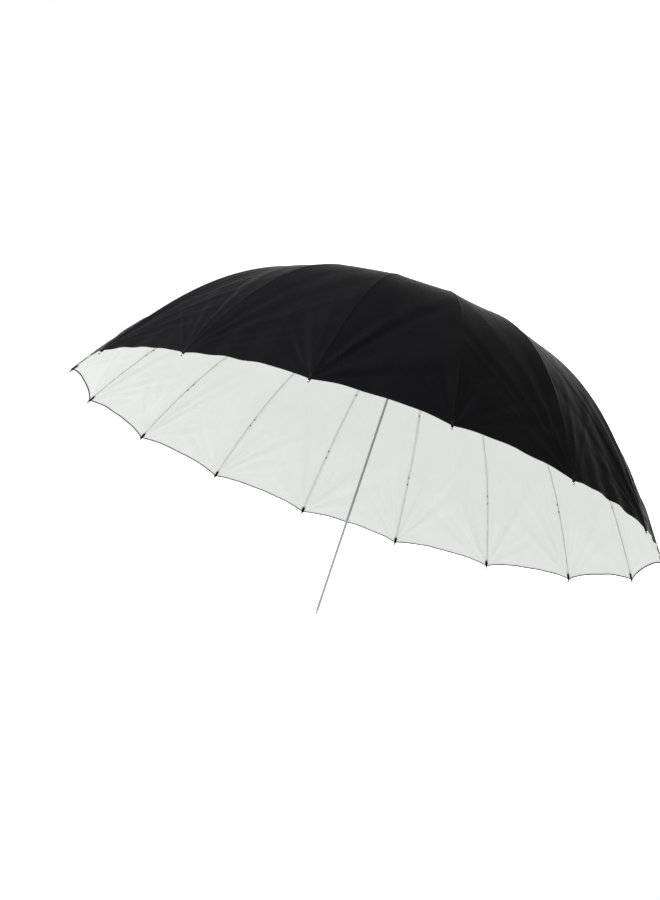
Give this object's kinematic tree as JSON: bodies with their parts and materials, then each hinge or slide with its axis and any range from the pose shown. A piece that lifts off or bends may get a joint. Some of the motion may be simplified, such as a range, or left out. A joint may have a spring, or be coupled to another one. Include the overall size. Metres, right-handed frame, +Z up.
{
  "type": "umbrella reflector",
  "caption": "Deep studio umbrella reflector on a thin shaft, black outside and white inside, with bent ribs, struts and a sliding runner that fold it shut.",
  "frame": {"origin": "point on the shaft axis where a light bracket clamps it, 120 mm from the shaft's free end", "axes": "+Y along the shaft towards the canopy's apex, -Y out of the open white side, +Z up towards rib 1"},
  "size_m": [2.1362, 1.1919, 2.1362],
  "materials": {
    "canopy_cloth": "matte",
    "black_cloth": "satin",
    "glass_fibre": "satin",
    "strut_steel": "satin",
    "bright_steel": "satin",
    "black_plastic": "satin",
    "pale_nylon": "matte"
  },
  "bodies": {
    "shaft": {"shaft": "bright_steel", "shaft_end_cap": "pale_nylon", "hub_notch": "black_plastic", "hub_wire_ring": "bright_steel", "hub_pin": "bright_steel", "hub_washer": "pale_nylon", "top_ferrule": "black_plastic", "canopy_top_patch": "black_cloth", "runner_stop_pin": "bright_steel"},
    "runner": {"runner_crown": "black_plastic", "runner_grip": "black_plastic"},
    "catch": {"spring_catch": "bright_steel"},
    "rib_01": {"rib_01": "glass_fibre", "canopy_panel_01": "canopy_cloth"},
    "strut_01": {"strut_01": "strut_steel"},
    "rib_02": {"rib_02": "glass_fibre", "canopy_panel_02": "canopy_cloth"},
    "strut_02": {"strut_02": "strut_steel"},
    "rib_03": {"rib_03": "glass_fibre", "canopy_panel_03": "canopy_cloth"},
    "strut_03": {"strut_03": "strut_steel"},
    "rib_04": {"rib_04": "glass_fibre", "canopy_panel_04": "canopy_cloth"},
    "strut_04": {"strut_04": "strut_steel"},
    "rib_05": {"rib_05": "glass_fibre", "canopy_panel_05": "canopy_cloth"},
    "strut_05": {"strut_05": "strut_steel"},
    "rib_06": {"rib_06": "glass_fibre", "canopy_panel_06": "canopy_cloth"},
    "strut_06": {"strut_06": "strut_steel"},
    "rib_07": {"rib_07": "glass_fibre", "canopy_panel_07": "canopy_cloth"},
    "strut_07": {"strut_07": "strut_steel"},
    "rib_08": {"rib_08": "glass_fibre", "canopy_panel_08": "canopy_cloth"},
    "strut_08": {"strut_08": "strut_steel"},
    "rib_09": {"rib_09": "glass_fibre", "canopy_panel_09": "canopy_cloth"},
    "strut_09": {"strut_09": "strut_steel"},
    "rib_10": {"rib_10": "glass_fibre", "canopy_panel_10": "canopy_cloth"},
    "strut_10": {"strut_10": "strut_steel"},
    "rib_11": {"rib_11": "glass_fibre", "canopy_panel_11": "canopy_cloth"},
    "strut_11": {"strut_11": "strut_steel"},
    "rib_12": {"rib_12": "glass_fibre", "canopy_panel_12": "canopy_cloth"},
    "strut_12": {"strut_12": "strut_steel"},
    "rib_13": {"rib_13": "glass_fibre", "canopy_panel_13": "canopy_cloth"},
    "strut_13": {"strut_13": "strut_steel"},
    "rib_14": {"rib_14": "glass_fibre", "canopy_panel_14": "canopy_cloth"},
    "strut_14": {"strut_14": "strut_steel"},
    "rib_15": {"rib_15": "glass_fibre", "canopy_panel_15": "canopy_cloth"},
    "strut_15": {"strut_15": "strut_steel"},
    "rib_16": {"rib_16": "glass_fibre", "canopy_panel_16": "canopy_cloth"},
    "strut_16": {"strut_16": "strut_steel"}
  },
  "joints": [
    {"name": "runner_slide", "type": "slide", "parent": "shaft", "child": "runner", "axis": [0, -1, 0], "range_m": [0, 0.66957]},
    {"name": "catch_press", "type": "slide", "parent": "shaft", "child": "catch", "axis": [-1, 0, 0], "range_m": [0, 0.003], "stiffness_N_per_m": 800},
    {"name": "rib_01_fold", "type": "hinge", "parent": "shaft", "child": "rib_01", "pos_m": [0, 1.03125, 0.0135], "axis": [1, 0, 0], "range_deg": [0, 56.87], "deforming": ["canopy_panel_01"]},
    {"name": "strut_01_fold", "type": "hinge", "parent": "rib_01", "child": "strut_01", "pos_m": [0, 0.94554, 0.50054], "axis": [1, 0, 0], "range_deg": [-104.47, 0]},
    {"name": "rib_02_fold", "type": "hinge", "parent": "shaft", "child": "rib_02", "pos_m": [0.00517, 1.03125, 0.01247], "axis": [0.9239, 0, -0.3827], "range_deg": [0, 56.87], "deforming": ["canopy_panel_02"]},
    {"name": "strut_02_fold", "type": "hinge", "parent": "rib_02", "child": "strut_02", "pos_m": [0.19155, 0.94554, 0.46244], "axis": [0.9239, 0, -0.3827], "range_deg": [-104.47, 0]},
    {"name": "rib_03_fold", "type": "hinge", "parent": "shaft", "child": "rib_03", "pos_m": [0.00955, 1.03125, 0.00955], "axis": [0.7071, 0, -0.7071], "range_deg": [0, 56.87], "deforming": ["canopy_panel_03"]},
    {"name": "strut_03_fold", "type": "hinge", "parent": "rib_03", "child": "strut_03", "pos_m": [0.35394, 0.94554, 0.35394], "axis": [0.7071, 0, -0.7071], "range_deg": [-104.47, 0]},
    {"name": "rib_04_fold", "type": "hinge", "parent": "shaft", "child": "rib_04", "pos_m": [0.01247, 1.03125, 0.00517], "axis": [0.3827, 0, -0.9239], "range_deg": [0, 56.87], "deforming": ["canopy_panel_04"]},
    {"name": "strut_04_fold", "type": "hinge", "parent": "rib_04", "child": "strut_04", "pos_m": [0.46244, 0.94554, 0.19155], "axis": [0.3827, 0, -0.9239], "range_deg": [-104.47, 0]},
    {"name": "rib_05_fold", "type": "hinge", "parent": "shaft", "child": "rib_05", "pos_m": [0.0135, 1.03125, 0], "axis": [0, 0, -1], "range_deg": [0, 56.87], "deforming": ["canopy_panel_05"]},
    {"name": "strut_05_fold", "type": "hinge", "parent": "rib_05", "child": "strut_05", "pos_m": [0.50054, 0.94554, 0], "axis": [0, 0, -1], "range_deg": [-104.47, 0]},
    {"name": "rib_06_fold", "type": "hinge", "parent": "shaft", "child": "rib_06", "pos_m": [0.01247, 1.03125, -0.00517], "axis": [-0.3827, 0, -0.9239], "range_deg": [0, 56.87], "deforming": ["canopy_panel_06"]},
    {"name": "strut_06_fold", "type": "hinge", "parent": "rib_06", "child": "strut_06", "pos_m": [0.46244, 0.94554, -0.19155], "axis": [-0.3827, 0, -0.9239], "range_deg": [-104.47, 0]},
    {"name": "rib_07_fold", "type": "hinge", "parent": "shaft", "child": "rib_07", "pos_m": [0.00955, 1.03125, -0.00955], "axis": [-0.7071, 0, -0.7071], "range_deg": [0, 56.87], "deforming": ["canopy_panel_07"]},
    {"name": "strut_07_fold", "type": "hinge", "parent": "rib_07", "child": "strut_07", "pos_m": [0.35394, 0.94554, -0.35394], "axis": [-0.7071, 0, -0.7071], "range_deg": [-104.47, 0]},
    {"name": "rib_08_fold", "type": "hinge", "parent": "shaft", "child": "rib_08", "pos_m": [0.00517, 1.03125, -0.01247], "axis": [-0.9239, 0, -0.3827], "range_deg": [0, 56.87], "deforming": ["canopy_panel_08"]},
    {"name": "strut_08_fold", "type": "hinge", "parent": "rib_08", "child": "strut_08", "pos_m": [0.19155, 0.94554, -0.46244], "axis": [-0.9239, 0, -0.3827], "range_deg": [-104.47, 0]},
    {"name": "rib_09_fold", "type": "hinge", "parent": "shaft", "child": "rib_09", "pos_m": [0, 1.03125, -0.0135], "axis": [-1, 0, 0], "range_deg": [0, 56.87], "deforming": ["canopy_panel_09"]},
    {"name": "strut_09_fold", "type": "hinge", "parent": "rib_09", "child": "strut_09", "pos_m": [0, 0.94554, -0.50054], "axis": [-1, 0, 0], "range_deg": [-104.47, 0]},
    {"name": "rib_10_fold", "type": "hinge", "parent": "shaft", "child": "rib_10", "pos_m": [-0.00517, 1.03125, -0.01247], "axis": [-0.9239, 0, 0.3827], "range_deg": [0, 56.87], "deforming": ["canopy_panel_10"]},
    {"name": "strut_10_fold", "type": "hinge", "parent": "rib_10", "child": "strut_10", "pos_m": [-0.19155, 0.94554, -0.46244], "axis": [-0.9239, 0, 0.3827], "range_deg": [-104.47, 0]},
    {"name": "rib_11_fold", "type": "hinge", "parent": "shaft", "child": "rib_11", "pos_m": [-0.00955, 1.03125, -0.00955], "axis": [-0.7071, 0, 0.7071], "range_deg": [0, 56.87], "deforming": ["canopy_panel_11"]},
    {"name": "strut_11_fold", "type": "hinge", "parent": "rib_11", "child": "strut_11", "pos_m": [-0.35394, 0.94554, -0.35394], "axis": [-0.7071, 0, 0.7071], "range_deg": [-104.47, 0]},
    {"name": "rib_12_fold", "type": "hinge", "parent": "shaft", "child": "rib_12", "pos_m": [-0.01247, 1.03125, -0.00517], "axis": [-0.3827, 0, 0.9239], "range_deg": [0, 56.87], "deforming": ["canopy_panel_12"]},
    {"name": "strut_12_fold", "type": "hinge", "parent": "rib_12", "child": "strut_12", "pos_m": [-0.46244, 0.94554, -0.19155], "axis": [-0.3827, 0, 0.9239], "range_deg": [-104.47, 0]},
    {"name": "rib_13_fold", "type": "hinge", "parent": "shaft", "child": "rib_13", "pos_m": [-0.0135, 1.03125, 0], "axis": [0, 0, 1], "range_deg": [0, 56.87], "deforming": ["canopy_panel_13"]},
    {"name": "strut_13_fold", "type": "hinge", "parent": "rib_13", "child": "strut_13", "pos_m": [-0.50054, 0.94554, 0], "axis": [0, 0, 1], "range_deg": [-104.47, 0]},
    {"name": "rib_14_fold", "type": "hinge", "parent": "shaft", "child": "rib_14", "pos_m": [-0.01247, 1.03125, 0.00517], "axis": [0.3827, 0, 0.9239], "range_deg": [0, 56.87], "deforming": ["canopy_panel_14"]},
    {"name": "strut_14_fold", "type": "hinge", "parent": "rib_14", "child": "strut_14", "pos_m": [-0.46244, 0.94554, 0.19155], "axis": [0.3827, 0, 0.9239], "range_deg": [-104.47, 0]},
    {"name": "rib_15_fold", "type": "hinge", "parent": "shaft", "child": "rib_15", "pos_m": [-0.00955, 1.03125, 0.00955], "axis": [0.7071, 0, 0.7071], "range_deg": [0, 56.87], "deforming": ["canopy_panel_15"]},
    {"name": "strut_15_fold", "type": "hinge", "parent": "rib_15", "child": "strut_15", "pos_m": [-0.35394, 0.94554, 0.35394], "axis": [0.7071, 0, 0.7071], "range_deg": [-104.47, 0]},
    {"name": "rib_16_fold", "type": "hinge", "parent": "shaft", "child": "rib_16", "pos_m": [-0.00517, 1.03125, 0.01247], "axis": [0.9239, 0, 0.3827], "range_deg": [0, 56.87], "deforming": ["canopy_panel_16"]},
    {"name": "strut_16_fold", "type": "hinge", "parent": "rib_16", "child": "strut_16", "pos_m": [-0.19155, 0.94554, 0.46244], "axis": [0.9239, 0, 0.3827], "range_deg": [-104.47, 0]}
  ],
  "couplings": [
    {"joint": "rib_01_fold", "follows": "runner_slide", "rad_per_m": 1.482},
    {"joint": "strut_01_fold", "follows": "runner_slide", "rad_per_m": -2.7228},
    {"joint": "rib_02_fold", "follows": "runner_slide", "rad_per_m": 1.482},
    {"joint": "strut_02_fold", "follows": "runner_slide", "rad_per_m": -2.7228},
    {"joint": "rib_03_fold", "follows": "runner_slide", "rad_per_m": 1.482},
    {"joint": "strut_03_fold", "follows": "runner_slide", "rad_per_m": -2.7228},
    {"joint": "rib_04_fold", "follows": "runner_slide", "rad_per_m": 1.482},
    {"joint": "strut_04_fold", "follows": "runner_slide", "rad_per_m": -2.7228},
    {"joint": "rib_05_fold", "follows": "runner_slide", "rad_per_m": 1.482},
    {"joint": "strut_05_fold", "follows": "runner_slide", "rad_per_m": -2.7228},
    {"joint": "rib_06_fold", "follows": "runner_slide", "rad_per_m": 1.482},
    {"joint": "strut_06_fold", "follows": "runner_slide", "rad_per_m": -2.7228},
    {"joint": "rib_07_fold", "follows": "runner_slide", "rad_per_m": 1.482},
    {"joint": "strut_07_fold", "follows": "runner_slide", "rad_per_m": -2.7228},
    {"joint": "rib_08_fold", "follows": "runner_slide", "rad_per_m": 1.482},
    {"joint": "strut_08_fold", "follows": "runner_slide", "rad_per_m": -2.7228},
    {"joint": "rib_09_fold", "follows": "runner_slide", "rad_per_m": 1.482},
    {"joint": "strut_09_fold", "follows": "runner_slide", "rad_per_m": -2.7228},
    {"joint": "rib_10_fold", "follows": "runner_slide", "rad_per_m": 1.482},
    {"joint": "strut_10_fold", "follows": "runner_slide", "rad_per_m": -2.7228},
    {"joint": "rib_11_fold", "follows": "runner_slide", "rad_per_m": 1.482},
    {"joint": "strut_11_fold", "follows": "runner_slide", "rad_per_m": -2.7228},
    {"joint": "rib_12_fold", "follows": "runner_slide", "rad_per_m": 1.482},
    {"joint": "strut_12_fold", "follows": "runner_slide", "rad_per_m": -2.7228},
    {"joint": "rib_13_fold", "follows": "runner_slide", "rad_per_m": 1.482},
    {"joint": "strut_13_fold", "follows": "runner_slide", "rad_per_m": -2.7228},
    {"joint": "rib_14_fold", "follows": "runner_slide", "rad_per_m": 1.482},
    {"joint": "strut_14_fold", "follows": "runner_slide", "rad_per_m": -2.7228},
    {"joint": "rib_15_fold", "follows": "runner_slide", "rad_per_m": 1.482},
    {"joint": "strut_15_fold", "follows": "runner_slide", "rad_per_m": -2.7228},
    {"joint": "rib_16_fold", "follows": "runner_slide", "rad_per_m": 1.482},
    {"joint": "strut_16_fold", "follows": "runner_slide", "rad_per_m": -2.7228}
  ]
}
